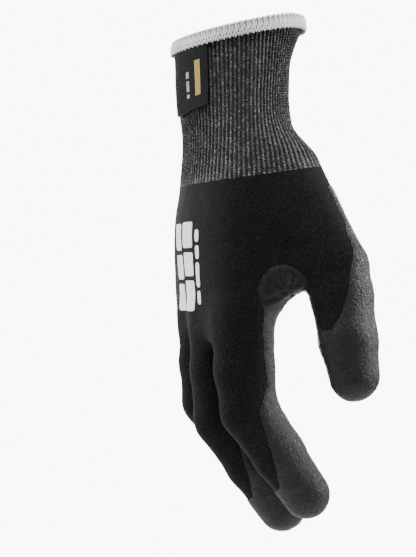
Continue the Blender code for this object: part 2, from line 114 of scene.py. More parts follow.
# How far to the pad side of a bone the coat starts, along a finger, the thumb and its web
FINGER_EDGE = ((-40.0, 8.0), (-10.0, 7.0), (0.0, 1.5), (9.0, -1.0))
FINGERTIP_EDGE = ((0.0, -5.5), (10.0, -8.5), (16.0, -16.0))
THUMB_EDGE = ((-20.0, 2.0), (-5.0, -2.5), (14.0, -8.0), (24.0, -11.0), (31.0, -14.0), (37.0, -16.0))
WEB_EDGE = ((-6.0, -16.0), (6.0, -9.0), (20.0, -5.0))

# The coat comes round the web's rim as far as this from its middle
WEB_MIDDLE = np.array((45.5, 7.9, -117.4))
WEB_REACH = 12.0

KNIT_WALL = 1.0
WALE_PITCH = 0.75
COURSE_PITCH = 0.6

# The mesh: its grid, and how often and how far its points are moved on to the true surface
GRID = 1.25
SETTLE_PASSES = 3
SETTLE_SHARE = 0.8
SHARP_ANGLE = math.radians(62.0)


def smooth_min(first, second, size):
    """The lesser of two values, with the corner between them rounded over a size."""
    mix = np.clip(0.5 + 0.5 * (second - first) / size, 0.0, 1.0)
    return second + (first - second) * mix - size * mix * (1.0 - mix)


def unit(vectors):
    return vectors / np.maximum(np.linalg.norm(vectors, axis=-1, keepdims=True), 1e-9)


def bone(points, start, end):
    """Distance to a rounded cone between two (x, y, z, radius) ends, narrower across x."""
    stretch = np.array((DEPTH_OVER_WIDTH, 1.0, 1.0))
    a = np.array(start[:3]) * stretch
    along = np.array(end[:3]) * stretch - a
    offset = points * stretch - a
    t = np.clip(offset @ along / (along @ along), 0.0, 1.0)
    radius = start[3] + (end[3] - start[3]) * t
    return np.linalg.norm(offset - t[:, None] * along, axis=1) - radius


def chain(points, joints):
    """Distance to the bones between a row of joints."""
    nearest = bone(points, joints[0], joints[1])
    for start, end in zip(joints[1:], joints[2:]):
        nearest = smooth_min(nearest, bone(points, start, end), JOINT_BLEND)
    return nearest


def section(heights):
    """Middle x, middle y, half width and half depth of the cuff and palm at heights."""
    rising = SECTIONS[::-1]
    return [
        np.mean([np.interp(heights + s, rising[:, 0], rising[:, k]) for s in SECTION_SOFTEN], axis=0)
        for k in (1, 2, 3, 4)
    ]


def body_field(points):
    """Distance, measured across z, to the cuff and palm."""
    x, y, z = points.T
    middle_x, middle_y, half_width, half_depth = section(z)
    power = np.interp(z, (-110.0, -60.0), (SECTION_POWER, 2.0))
    u = np.abs(x - middle_x) / half_width + 1e-9
    v = np.abs(y - middle_y) / half_depth + 1e-9
    ratio = (u ** power + v ** power) ** (1.0 / power)
    size = np.hypot(x - middle_x, y - middle_y) + 1e-9
    across = size * (1.0 - 1.0 / ratio)
    end = PALM_END + PALM_END_SLOPE * np.maximum(-x - 8.0, 0.0)
    return -smooth_min(-across, z - end, PALM_END_BLEND)


def finger_field(points, name):
    """Distance to a finger, which starts inside the palm."""
    joints = FINGERS[name]
    first = (joints[0][0], joints[0][1], FINGER_TOP, joints[0][3])
    return chain(points, (first, *joints))


def web_field(points):
    """Distance to the web between the thumb and the hand."""
    return bone(points, *WEB)


def thumb_field(points):
    """Distance to the thumb and its web."""
    thumb = chain(points, (THUMB_ROOT, THUMB_KNUCKLE, *THUMB))
    return smooth_min(thumb, web_field(points), WEB_BLEND)


def glove_field(points):
    """Distance to the glove's smooth surface, below 0 inside it."""
    fingers = np.min([finger_field(points, name) for name in FINGERS], axis=0)
    hand = smooth_min(body_field(points), fingers, FINGER_BLEND)
    return smooth_min(hand, thumb_field(points), THUMB_BLEND)


def gradient(points):
    """Slope of the glove's field, which points out of its surface."""
    step = 0.05
    slopes = []
    for k in range(3):
        shift = np.zeros(3)
        shift[k] = step
        slopes.append((glove_field(points + shift) - glove_field(points - shift)) / (2 * step))
    return np.stack(slopes, axis=1)


# Meshes -----------------------------------------------------------------------------------------


def surface_net(low, high):
    """(points, triangles) over the glove's surface, one point in each grid cell that it crosses."""
    axes = [np.arange(low[k], high[k], GRID) for k in range(3)]
    shape = tuple(len(a) for a in axes)
    corners = np.stack(np.meshgrid(*axes, indexing="ij"), axis=-1)
    values = np.concatenate([glove_field(layer.reshape(-1, 3)) for layer in corners])
    values = values.reshape(shape)
    total = np.zeros((values.size, 3))
    count = np.zeros(values.size)
    quads = []
    for k in range(3):
        here = [slice(None)] * 3
        there = [slice(None)] * 3
        here[k] = slice(0, -1)
        there[k] = slice(1, None)
        before = values[tuple(here)]
        after = values[tuple(there)]
        cells = np.argwhere((before < 0) != (after < 0))
        first = before[tuple(cells.T)]
        last = after[tuple(cells.T)]
        crossing = corners[tuple(cells.T)]
        crossing[:, k] += GRID * first / (first - last)
        ring = []
        for step in ((0, 0), (-1, 0), (-1, -1), (0, -1)):
            near = cells.copy()
            near[:, (k + 1) % 3] += step[0]
            near[:, (k + 2) % 3] += step[1]
            flat = np.ravel_multi_index(near.T, shape)
            np.add.at(total, flat, crossing)
            np.add.at(count, flat, 1)
            ring.append(flat)
        ring = np.stack(ring, axis=1)
        inward = first > 0
        ring[inward] = ring[inward][:, ::-1]
        quads.append(ring)
    used, quads = np.unique(np.concatenate(quads), return_inverse=True)
    quads = quads.reshape(-1, 4)
    points = total[used] / count[used][:, None]
    for _ in range(SETTLE_PASSES):
        slope = gradient(points)
        size = glove_field(points) / np.maximum((slope ** 2).sum(axis=1), 0.2)
        points = points - SETTLE_SHARE * size[:, None] * slope
    return points, np.concatenate([quads[:, (0, 1, 2)], quads[:, (0, 2, 3)]])


def largest_part(points, triangles):
    """The largest part of a surface that shared sides join, without its unused points."""
    ends = np.sort(np.stack([triangles, np.roll(triangles, -1, axis=1)]), axis=0)
    _, sides = np.unique(ends[0] * len(points) + ends[1], return_inverse=True)
    sides = sides.reshape(-1, 3)
    group = np.arange(sides.max() + 1)
    while True:
        least = group[sides].min(axis=1)
        joined = group.copy()
        for k in range(3):
            np.minimum.at(joined, sides[:, k], least)
        joined = joined[joined]
        if (joined == group).all():
            break
        group = joined
    marks, sizes = np.unique(group[sides[:, 0]], return_counts=True)
    triangles = triangles[group[sides[:, 0]] == marks[sizes.argmax()]]
    used, renumbered = np.unique(triangles, return_inverse=True)
    return points[used], renumbered.reshape(-1, 3)


def clip(surface, values):
    """The largest part of a surface where the values, one to a point, are above 0."""
    points, triangles = surface
    values = np.where(np.abs(values) < 1e-4, 1e-4, values)
    above = values[triangles] > 0
    kept = triangles[above.all(axis=1)].tolist()
    points = list(points)
    made = {}
    for triangle in triangles[above.any(axis=1) & ~above.all(axis=1)].tolist():
        outline = []
        for a, b in zip(triangle, triangle[1:] + triangle[:1]):
            if values[a] > 0:
                outline.append(a)
            if (values[a] > 0) != (values[b] > 0):
                low, high = min(a, b), max(a, b)
                if (low, high) not in made:
                    t = values[low] / (values[low] - values[high])
                    made[low, high] = len(points)
                    points.append(points[low] + t * (points[high] - points[low]))
                outline.append(made[low, high])
        for second, third in zip(outline[1:], outline[2:]):
            kept.append((outline[0], second, third))
    return largest_part(np.array(points), np.array(kept))


def make_object(name, points, faces, material, maps=None):
    """A smooth object from points in millimetres. maps holds a 2-D coordinate for each face corner."""
    mesh = bpy.data.meshes.new(name)
    mesh.from_pydata((np.asarray(points) * MM).tolist(), [], np.asarray(faces).tolist())
    mesh.update()
    mesh.materials.append(material)
    mesh.polygons.foreach_set("use_smooth", [True] * len(mesh.polygons))
    mesh.set_sharp_from_angle(angle=SHARP_ANGLE)
    for label, corners in (maps or {}).items():
        layer = mesh.uv_layers.new(name=label)
        layer.data.foreach_set("uv", np.asarray(corners, np.float32).reshape(-1))
    made = bpy.data.objects.new(name, mesh)
    bpy.context.scene.collection.objects.link(made)
    return made


def make_shell(name, surface, outer, inner, material, corners=None):
    """A closed body between two offsets, along its normals, of an open surface."""
    points, triangles = surface
    normals = unit(gradient(points))
    edges = np.concatenate([triangles[:, (0, 1)], triangles[:, (1, 2)], triangles[:, (2, 0)]])
    size = len(points)
    key = edges[:, 0] * size + edges[:, 1]
    back = edges[:, 1] * size + edges[:, 0]
    lone = ~np.isin(key, back)
    a, b = edges[lone].T
    both = np.concatenate([
        points + np.reshape(outer, (-1, 1)) * normals,
        points + np.reshape(inner, (-1, 1)) * normals,
    ])
    faces = np.concatenate([
        triangles,
        triangles[:, ::-1] + size,
        np.stack([b, a, a + size], axis=1),
        np.stack([b, a + size, b + size], axis=1),
    ])
    maps = None
    if corners is not None:
        wall = np.zeros((2 * len(a), 3, 2))
        maps = {"knit": np.concatenate([corners, corners[:, ::-1], wall])}
    return make_object(name, both, faces, material, maps)


def joined(parts):
    """(points, faces) of several such pairs as one mesh."""
    sizes = np.cumsum([0] + [len(points) for points, _ in parts[:-1]])
    return (np.concatenate([points for points, _ in parts]),
            np.concatenate([faces + size for size, (_, faces) in zip(sizes, parts)]))


def tube(path, radii, sides=6):
    """(points, faces) of a round thread along a closed path that goes round the z axis."""
    ahead = unit(np.roll(path, -1, axis=0) - np.roll(path, 1, axis=0))
    out = unit(path * (1.0, 1.0, 0.0))
    side = unit(np.cross(ahead, out) + (0.0, 0.0, 1e-6))
    out = np.cross(side, ahead)
    turns = 2 * np.pi * np.arange(sides) / sides
    ring = np.cos(turns)[None, :, None] * out[:, None] + np.sin(turns)[None, :, None] * side[:, None]
    points = path[:, None] + np.reshape(radii, (-1, 1, 1)) * ring
    rows = np.arange(len(path)) * sides
    after = np.roll(rows, -1)
    faces = []
    for k in range(sides):
        following = (k + 1) % sides
        faces.append(np.stack([rows + k, after + k, after + following, rows + following], axis=1))
    return points.reshape(-1, 3), np.concatenate(faces)


# Materials --------------------------------------------------------------------------------------


class Nodes:
    """A short way to write a material's nodes."""

    def __init__(self, name):
        self.material = bpy.data.materials.new(name)
        self.material.use_nodes = True
        self.tree = self.material.node_tree
        self.shader = self.tree.nodes["Principled BSDF"]

    def put(self, value, socket):
        if isinstance(value, bpy.types.NodeSocket):
            self.tree.links.new(value, socket)
        else:
            socket.default_value = value

    def node(self, kind, inputs=None, **settings):
        made = self.tree.nodes.new(kind)
        for key, value in settings.items():
            setattr(made, key, value)
        for key, value in (inputs or {}).items():
            self.put(value, made.inputs[key])
        return made

    def maths(self, operation, *values):
        made = self.tree.nodes.new("ShaderNodeMath")
        made.operation = operation
        for number, value in enumerate(values):
            self.put(value, made.inputs[number])
        return made.outputs[0]

    def attribute(self, name):
        made = self.node("ShaderNodeAttribute", attribute_name=name)
        split = self.node("ShaderNodeSeparateXYZ", {"Vector": made.outputs["Vector"]})
        return split.outputs[0], split.outputs[1]

    def noise(self, scale, detail=3.0, roughness=0.5):
        place = self.node("ShaderNodeTexCoord").outputs["Object"]
        made = self.node("ShaderNodeTexNoise", {
            "Vector": place, "Scale": scale, "Detail": detail, "Roughness": roughness,
        })
        return made.outputs["Fac"]

    def ramp(self, value, *stops):
        made = self.node("ShaderNodeValToRGB", {"Fac": value})
        ramp = made.color_ramp
        while len(ramp.elements) < len(stops):
            ramp.elements.new(0.5)
        for element, (place, colour) in zip(ramp.elements, stops):
            element.position = place
            element.color = (*colour, 1.0)
        return made.outputs["Color"]

    def spread(self, value, low, high, new_low, new_high):
        made = self.node("ShaderNodeMapRange", {
            "Value": value, "From Min": low, "From Max": high, "To Min": new_low, "To Max": new_high,
        })
        return made.outputs["Result"]

    def bump(self, height, distance, strength=1.0, normal=None):
        made = self.node("ShaderNodeBump", {
            "Height": height, "Distance": distance, "Strength": strength,
        })
        if normal is not None:
            self.put(normal, made.inputs["Normal"])
        return made.outputs["Normal"]

    def finish(self, **inputs):
        for key, value in inputs.items():
            self.put(value, self.shader.inputs[key.replace("_", " ")])
        return self.material


def stitches(n):
    """Height of knitted loops, from the knit map in loops."""
    across, along = n.attribute("knit")
    phase = n.maths("MULTIPLY", across, 2 * math.pi)
    bend = n.maths("ABSOLUTE", n.maths("SINE", n.maths("MULTIPLY", phase, 0.5)))
    wale = n.maths("COSINE", phase)
    lean = n.maths("ADD", n.maths("MULTIPLY", along, 2 * math.pi), n.maths("MULTIPLY", bend, 3.0))
    course = n.maths("SINE", lean)
    return n.maths("ADD", n.maths("MULTIPLY", wale, 0.7), n.maths("MULTIPLY", course, 0.3))


def knit_material():
    n = Nodes("fine_black_knit")
    height = stitches(n)
    fuzz = n.noise(1700.0, 3.0, 0.65)
    cloud = n.noise(60.0, 3.0)
    # Painted shade: the loops' height makes the colour a little darker in the hollows between the
    # loops. The fuzz and cloud are the yarn's own tone.
    light = n.maths("ADD", n.maths("MULTIPLY", height, 0.05), fuzz)
    light = n.maths("ADD", light, n.maths("MULTIPLY", cloud, 0.12))
    colour = n.ramp(
        light, (0.35, (0.0036, 0.0037, 0.0040)), (0.58, (0.0072, 0.0074, 0.0082)),
        (0.78, (0.027, 0.028, 0.032)))
    normal = n.bump(height, 0.00007, 0.5)
    normal = n.bump(fuzz, 0.00022, 0.6, normal)
    return n.finish(
        Base_Color=colour, Roughness=0.85, Normal=normal, Sheen_Weight=0.07, Sheen_Roughness=0.35,
        Sheen_Tint=(0.74, 0.79, 0.88, 1.0), Specular_IOR_Level=0.06)


def coat_material():
    n = Nodes("crinkled_black_coat")
    fine = n.noise(1300.0, 4.0, 0.6)
    ridge = n.maths("ABSOLUTE", n.maths("SUBTRACT", n.noise(420.0, 4.0, 0.65), 0.5))
    crease = n.spread(ridge, 0.0, 0.12, 0.0, 1.0)
    fold = n.noise(170.0, 3.0, 0.6)
    height = n.maths("ADD", n.maths("MULTIPLY", crease, 0.5), fold)
    normal = n.bump(height, 0.0007, 0.6)
    normal = n.bump(fine, 0.00025, 0.6, normal)
    # Painted shade: the colour is darker along the creases, where the crease value sinks the bump. The
    # fine noise is the coat's own tone.
    colour = n.ramp(
        n.maths("ADD", n.maths("MULTIPLY", crease, 0.4), n.maths("MULTIPLY", fine, 0.6)),
        (0.25, (0.0022, 0.0019, 0.0018)), (0.8, (0.0085, 0.0077, 0.0074)))
    return n.finish(
        Base_Color=colour, Roughness=n.spread(fine, 0.35, 0.65, 0.34, 0.52), Normal=normal,
        Specular_IOR_Level=0.27)


def rib_material():
    n = Nodes("grey_rib_knit")
    height = stitches(n)
    heather = n.noise(1500.0, 2.0, 0.75)
    cloud = n.noise(260.0, 3.0)
    # Painted shade: the loops' height makes the colour darker in the grooves between the ribs. The
    # heather and cloud are the yarn's own tone.
    light = n.maths("ADD", n.maths("MULTIPLY", height, 0.12), heather)
    light = n.maths("ADD", light, n.maths("MULTIPLY", cloud, 0.25))
    colour = n.ramp(
        light, (0.42, (0.006, 0.006, 0.0065)), (0.62, (0.018, 0.018, 0.019)),
        (0.74, (0.08, 0.08, 0.083)), (0.88, (0.30, 0.30, 0.305)))
    normal = n.bump(height, 0.0003, 0.8)
    normal = n.bump(heather, 0.0003, 0.5, normal)
    return n.finish(
        Base_Color=colour, Roughness=0.9, Normal=normal, Sheen_Weight=0.16, Sheen_Roughness=0.4,
        Sheen_Tint=(0.85, 0.87, 0.9, 1.0), Specular_IOR_Level=0.2)


def thread_material(name, dark, light):
    n = Nodes(name)
    fuzz = n.noise(1800.0, 3.0, 0.6)
    cloud = n.noise(160.0, 2.0)
    mixed = n.maths("ADD", n.maths("MULTIPLY", fuzz, 0.6), n.maths("MULTIPLY", cloud, 0.4))
    colour = n.ramp(mixed, (0.3, dark), (0.65, light))
    return n.finish(
        Base_Color=colour, Roughness=0.85, Normal=n.bump(fuzz, 0.0003, 0.7), Sheen_Weight=0.15,
        Specular_IOR_Level=0.3)


def label_material():
    """Satin weave. The label's knit map is in millimetres."""
    n = Nodes("black_satin_weave")
    across, along = n.attribute("knit")
    weft = n.maths("SINE", n.maths("MULTIPLY", along, 2 * math.pi * 4.0))
    warp = n.maths("SINE", n.maths("MULTIPLY", across, 2 * math.pi * 5.0))
    weave = n.maths("ADD", n.maths("MULTIPLY", weft, 0.6), n.maths("MULTIPLY", warp, 0.4))
    cloud = n.noise(180.0, 3.0)
    colour = n.ramp(
        n.maths("ADD", n.maths("MULTIPLY", weave, 0.15), cloud),
        (0.3, (0.0035, 0.0045, 0.0058)), (0.75, (0.008, 0.010, 0.0125)))
    return n.finish(
        Base_Color=colour, Roughness=0.55, Normal=n.bump(weave, 0.00005, 0.6),
        Specular_IOR_Level=0.03)


def woven_material(name, dark, light):
    n = Nodes(name)
    _, along = n.attribute("knit")
    weft = n.maths("SINE", n.maths("MULTIPLY", along, 2 * math.pi * 3.0))
    cloud = n.noise(900.0, 3.0)
    colour = n.ramp(
        n.maths("ADD", n.maths("MULTIPLY", weft, 0.18), cloud), (0.3, dark), (0.7, light))
    return n.finish(
        Base_Color=colour, Roughness=0.6, Normal=n.bump(weft, 0.0001, 0.7), Sheen_Weight=0.2)


def print_material():
    n = Nodes("white_transfer_print")
    height = stitches(n)
    cloud = n.noise(700.0, 4.0, 0.6)
    colour = n.ramp(cloud, (0.28, (0.70, 0.70, 0.72)), (0.5, (0.92, 0.92, 0.93)))
    return n.finish(
        Base_Color=colour, Roughness=0.55, Normal=n.bump(height, 0.00012, 0.7))


KNIT = knit_material()
COAT = coat_material()
RIB = rib_material()
THREAD = thread_material("cream_overlock_thread", (0.66, 0.65, 0.60), (0.92, 0.91, 0.87))
# The band under the threads is coloured dark grey-brown. This is partly the cuff's own dark knit seen
# between the stitches, and partly painted shade in the gaps between them.
BAND = thread_material("overlock_band_knit_and_painted_shade", (0.08, 0.08, 0.072), (0.20, 0.195, 0.18))
LABEL = label_material()
YELLOW = woven_material("yellow_weave", (0.30, 0.17, 0.004), (0.55, 0.33, 0.008))
GREY = woven_material("grey_weave", (0.20, 0.20, 0.21), (0.42, 0.42, 0.43))
PRINT = print_material()


# Where things lie on the hand ---------------------------------------------------------------------


def finger_of(points):
    """The number of the finger whose band of x each point is in."""
    number = np.zeros(len(points), int)
    for limit in FINGER_LIMITS:
        number += points[:, 0] < limit
    return number


def thumb_part(points):
    """Points near the thumb, past its web."""
    base = np.array(THUMB[0][:3])
    along = np.array(THUMB[2][:3]) - base
    t = np.clip((points - base) @ along / (along @ along), -0.4, 1.0)
    return np.linalg.norm(points - base - t[:, None] * along, axis=1) < THUMB_REACH


def along_finger(points, name):
    """How far points are to the pad side of a finger's bones, and how far along them."""
    joints = [np.array(j[:3]) for j in FINGERS[name]]
    nearest = np.full(len(points), 1e9)
    side = np.zeros(len(points))
    length = np.zeros(len(points))
    run = 0.0
    for start, end in zip(joints, joints[1:]):
        size = np.linalg.norm(end - start)
        way = (end - start) / size
        pad = unit(FINGER_PAD - (FINGER_PAD @ way) * way)
        offset = points - start
        t = offset @ way
        inside = np.clip(t, 0.0, size)
        distance = np.linalg.norm(offset - inside[:, None] * way, axis=1)
        closer = distance < nearest
        nearest = np.where(closer, distance, nearest)
        side = np.where(closer, offset @ pad, side)
        length = np.where(closer, run + t, length)
        run += size
    return side, length


def along_line(points, start, end, pad):
    """How far points are to the pad side of a line, and how far along it."""
    start = np.array(start[:3])
    way = unit(np.array(end[:3]) - start)
    offset = points - start
    return offset @ unit(pad - (pad @ way) * way), offset @ way


def past_edge(side, length, edge):
    """How far points are past a coat edge, given as (length, side) places."""
    return side - np.interp(length, *np.transpose(edge))


def finger_coat(points, name):
    """Above 0 on the coated pad side of a finger, and all round its tip."""
    side, length = along_finger(points, name)
    joints = [np.array(j[:3]) for j in FINGERS[name]]
    middle = np.linalg.norm(joints[1] - joints[0])
    last = middle + np.linalg.norm(joints[2] - joints[1])
    edge = [(middle + t, e) for t, e in FINGER_EDGE] + [(last + t, e) for t, e in FINGERTIP_EDGE]
    return past_edge(side, length, edge)


def coat_values(points):
    """How far inside the coat's edge points are, about in millimetres. Above 0 is coated."""
    x, y, z = points.T
    top = COAT_TOP - z + 0.15 * y
    lift = 6.0 * np.clip(x / 25.0, 0.0, 1.0) + np.interp(z, (-110.0, -95.0), (0.0, 3.0)) * (x > 0)
    palm = np.minimum(y - section(z)[1] - 1.0 - lift, top)
    thumb = past_edge(*along_line(points, THUMB_KNUCKLE, THUMB[2], THUMB_PAD), THUMB_EDGE)
    web = past_edge(*along_line(points, *WEB, WEB_PAD), WEB_EDGE)
    parts = [
        (body_field(points), palm),
        (thumb_field(points), np.minimum(thumb, top)),
        (web_field(points), web),
    ]
    parts += [(finger_field(points, name), finger_coat(points, name)) for name in FINGERS]
    nearest = np.min([field for field, _ in parts], axis=0)
    shares = [np.exp((nearest - field) / COAT_MIX) for field, _ in parts]
    mixed = sum(share * value for share, (_, value) in zip(shares, parts)) / sum(shares)
    return np.maximum(mixed, WEB_REACH - np.linalg.norm(points - WEB_MIDDLE, axis=1))


def noise_at(points, size, seed=0.0):
    """Smooth noise from -1 to 1 with features of a size in millimetres."""
    shift = Vector((seed, -seed, 0.5 * seed))
    return np.array([noise.noise(Vector(p) / size + shift) for p in points.tolist()])


def ripple(points):
    """How far the cloth stands off the hand's smooth shape."""
    return 0.22 * noise_at(points, 13.0, 5.0) + 0.10 * noise_at(points, 5.0, 9.0)


# Creases at the web: height, how wide the noise's ridges are, and the noise's size, ring and twist
CREASE_HEIGHT = 1.8
CREASE_LEVEL = 0.35
CREASE_SIZE = 1.5
CREASE_RING = 4.5
CREASE_TWIST = 0.10
CREASE_REACH = 19.0
CREASE_FADE = 8.0


def web_creases(points):
    """Height of the creases that spread out from the web's rim."""
    offset = points - WEB_MIDDLE
    turn = np.arctan2(offset[:, 2], offset @ unit(np.array((WEB[1][0] - WEB[0][0], 11.0, 0.0))))
    reach = np.linalg.norm(offset, axis=1)
    lines = np.stack([
        CREASE_RING * np.cos(turn), CREASE_RING * np.sin(turn), CREASE_TWIST * reach], axis=1)
    ridge = CREASE_LEVEL - np.abs(noise_at(lines, CREASE_SIZE, 7.0))
    return CREASE_HEIGHT * ridge * np.clip((CREASE_REACH - reach) / CREASE_FADE, 0.0, 1.0)


# The way round a finger, the thumb and the hand, which sets how many wales they have
FINGER_GIRTH = 62.0
THUMB_GIRTH = 66.0
HAND_GIRTH = 218.0


def knit_map(points, triangles, name):
    """For each face corner, which wale and course of the knit it is in."""
    x, y, z = points.T
    if name in FINGERS:
        side, along = along_finger(points, name)
        angle = np.arctan2(x - FINGERS[name][0][0], -side)
        girth = FINGER_GIRTH
    elif name == "thumb":
        side, along = along_line(points, THUMB_KNUCKLE, THUMB[2], THUMB_PAD)
        knuckle = np.array(THUMB_KNUCKLE[:3])
        cross = np.cross(np.array(THUMB[2][:3]) - knuckle, THUMB_PAD)
        angle = np.arctan2((points - knuckle) @ unit(cross), -side)
        girth = THUMB_GIRTH
    else:
        middle_x, middle_y, half_width, half_depth = section(z)
        angle = np.arctan2((x - middle_x) / half_width, -(y - middle_y) / half_depth)
        along = -z
        girth = HAND_GIRTH
    corner = angle[triangles]
    corner = np.where(corner - corner[:, :1] > np.pi, corner - 2 * np.pi, corner)
    corner = np.where(corner - corner[:, :1] < -np.pi, corner + 2 * np.pi, corner)
    across = corner * girth / (2 * np.pi) / WALE_PITCH
    return np.stack([across, along[triangles] / COURSE_PITCH], axis=-1)


# Cuff, edge and label -----------------------------------------------------------------------------


def mouth_level(y):
    """Height of the cuff's mouth, which slopes up to the palm side and levels off there."""
    return MOUTH_SLOPE * y - MOUTH_DROOP * np.maximum(y - 6.0, 0.0) ** 2


def foot_level(y):
    """Height of the end of the ribs."""
    return CUFF_END + CUFF_END_SLOPE * y


# Rough half width and half depth of the cuff, which space the angles round it
CUFF_SIZE = (35.0, 27.0)
SEARCH_RADII = (5.0, 70.0)
SEARCH_STEPS = 20


def on_surface(angles, level):
    """Points of the cuff at angles round it, where level gives the height for their y."""
    way = np.stack([CUFF_SIZE[0] * np.cos(angles), CUFF_SIZE[1] * np.sin(angles), 0 * angles], axis=1)
    way = unit(way)
    near = np.full(len(angles), SEARCH_RADII[0])
    far = np.full(len(angles), SEARCH_RADII[1])
    for _ in range(SEARCH_STEPS):
        middle = (near + far) / 2
        points = middle[:, None] * way
        points[:, 2] = level(points[:, 1])
        inside = glove_field(points) < 0
        near = np.where(inside, middle, near)
        far = np.where(inside, far, middle)
    return points


# Cuff: ribs and points round it, rows down it, its place under the mouth, and its wall
RIBS = 94
RIB_STEPS = 8
RIB_DEPTH = 0.33
CUFF_TURNS = RIBS * RIB_STEPS
CUFF_ROWS = 96
CUFF_GAP = 0.6
CUFF_WALL = 1.3
CUFF_PUFF = 0.3
COURSES_PER_ROW = 0.62


def cuff_row(angles, t):
    """Points round the cuff at a share t of the way from its mouth to the end of the ribs."""
    return on_surface(angles, lambda y: (mouth_level(y) - CUFF_GAP) * (1 - t) + foot_level(y) * t)


def cuff_points():
    """Rows of points down the ribbed outer wall, then down the plain inner wall."""
    angles = 2 * np.pi * np.arange(CUFF_TURNS) / CUFF_TURNS
    rib = np.cos(RIBS * angles)
    rib = np.sign(rib) * np.abs(rib) ** 0.8
    outer = []
    inner = []
    for row in range(CUFF_ROWS + 1):
        t = row / CUFF_ROWS
        points = cuff_row(angles, t)
        normals = unit(gradient(points) * (1.0, 1.0, 0.0))
        fade = min(1.0, 8.0 * (1 - t) + 0.15)
        bulge = noise_at(points[::RIB_STEPS] * (1.0, 1.0, 0.6), 16.0, 3.0).repeat(RIB_STEPS)
        puff = CUFF_PUFF * bulge
        outer.append(points + (RIB_DEPTH * fade * rib + puff)[:, None] * normals)
        inner.append(points + (puff - CUFF_WALL)[:, None] * normals)
    return np.concatenate(outer + inner)


def make_cuff():
    """The ribbed tube, with its ribs in the mesh, and a plain inner wall."""
    turns = CUFF_TURNS
    count = (CUFF_ROWS + 1) * turns
    rows, columns = np.meshgrid(np.arange(CUFF_ROWS), np.arange(turns), indexing="ij")
    a = (rows * turns + columns).ravel()
    b = (rows * turns + (columns + 1) % turns).ravel()
    outer = np.stack([b, a, a + turns, b + turns], axis=1)
    inner = np.stack([a, b, b + turns, a + turns], axis=1) + count
    first = np.arange(turns)
    following = (first + 1) % turns
    last = CUFF_ROWS * turns
    top_wall = np.stack([first, following, following + count, first + count], axis=1)
    foot_wall = np.stack([
        following + last, first + last, first + last + count, following + last + count], axis=1)
    across = columns.ravel() / RIB_STEPS
    beside = across + 1 / RIB_STEPS
    down = rows.ravel() * COURSES_PER_ROW
    below = down + COURSES_PER_ROW
    outer_map = np.stack([
        np.stack([beside, down], axis=1), np.stack([across, down], axis=1),
        np.stack([across, below], axis=1), np.stack([beside, below], axis=1)], axis=1)
    inner_map = outer_map[:, (1, 0, 3, 2)]
    rim_map = np.zeros((2 * turns, 4, 2))
    maps = {"knit": np.concatenate([outer_map, inner_map, rim_map])}
    faces = np.concatenate([outer, inner, top_wall, foot_wall])
    cuff = make_object("cuff_rib_knit", cuff_points(), faces, RIB, maps)
    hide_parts("cuff_rib", "cuff_wrist_sleeve", "cuff_lower_rib")
    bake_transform(cuff)


# The fold over the mouth: how far down it goes, how far up, and its outer and inner sides
EDGE_DROP = 3.9
EDGE_RISE = 0.9
EDGE_OUT = 0.75
EDGE_IN = -2.3
EDGE_SIDE = EDGE_DROP + EDGE_RISE
EDGE_MIDDLE = (EDGE_OUT + EDGE_IN) / 2
EDGE_FOLD = (EDGE_OUT - EDGE_IN) / 2
EDGE_ARCH = 0.55 * EDGE_FOLD
EDGE_PUFF = 0.45
EDGE_POINTS = 420

# The band: its points round the mouth, its rows over the fold, where they lie and its wall
BAND_TURNS = 376
BAND_ROWS = 26
BAND_PATH = (0.3, 2 * EDGE_SIDE + 1.5 * math.pi - 1.5)
BAND_WALL = 0.5

# The threads. Loopers: start, lean and radius. Chains: place past the outer side, and swing
EDGE_STITCHES = 74
STITCH_STEPS = 16
LOOPERS = ((0.0, 0.372, 0.42), (0.45, 0.3, 0.27))
CHAINS = ((0.4, 0.9), (1.7, -0.9))
CHAIN_RADIUS = 0.42


class Edge:
    """The cuff's mouth, and the folded path over it that the overlock threads follow."""

    def __init__(self):
        angles = 2 * np.pi * np.arange(EDGE_POINTS) / EDGE_POINTS
        self.line = on_surface(angles, mouth_level)
        self.normal = unit(gradient(self.line) * (1.0, 1.0, 0.0))
        self.stitch = np.arange(EDGE_STITCHES * STITCH_STEPS) / STITCH_STEPS
        self.phase = 2 * np.pi * self.stitch

    def place(self, turn, over):
        """Points at places round the mouth, from 0 to 1, and in mm over the fold from its foot."""
        x = (turn % 1.0) * EDGE_POINTS
        low = np.floor(x).astype(int) % EDGE_POINTS
        high = (low + 1) % EDGE_POINTS
        part = (x - np.floor(x))[:, None]
        line = self.line[low] * (1 - part) + self.line[high] * part
        normal = unit(self.normal[low] * (1 - part) + self.normal[high] * part)
        bend = np.clip((over - EDGE_SIDE) / EDGE_FOLD, 0.0, np.pi)
        down = np.maximum(over - EDGE_SIDE - np.pi * EDGE_FOLD, 0.0)
        out = EDGE_MIDDLE + EDGE_FOLD * np.cos(bend)
        up = np.where(over < EDGE_SIDE, over - EDGE_DROP, EDGE_RISE) + EDGE_ARCH * np.sin(bend) - down
        puff = EDGE_PUFF * np.sin(np.clip(over / EDGE_SIDE, 0.0, 1.0) * np.pi)
        points = line + (out + puff)[:, None] * normal
        points[:, 2] += up
        return points

    def along(self, lean, over):
        """A path that leans to and fro along the mouth once to a stitch."""
        return self.place((self.stitch + lean * np.sin(self.phase)) / EDGE_STITCHES, over)


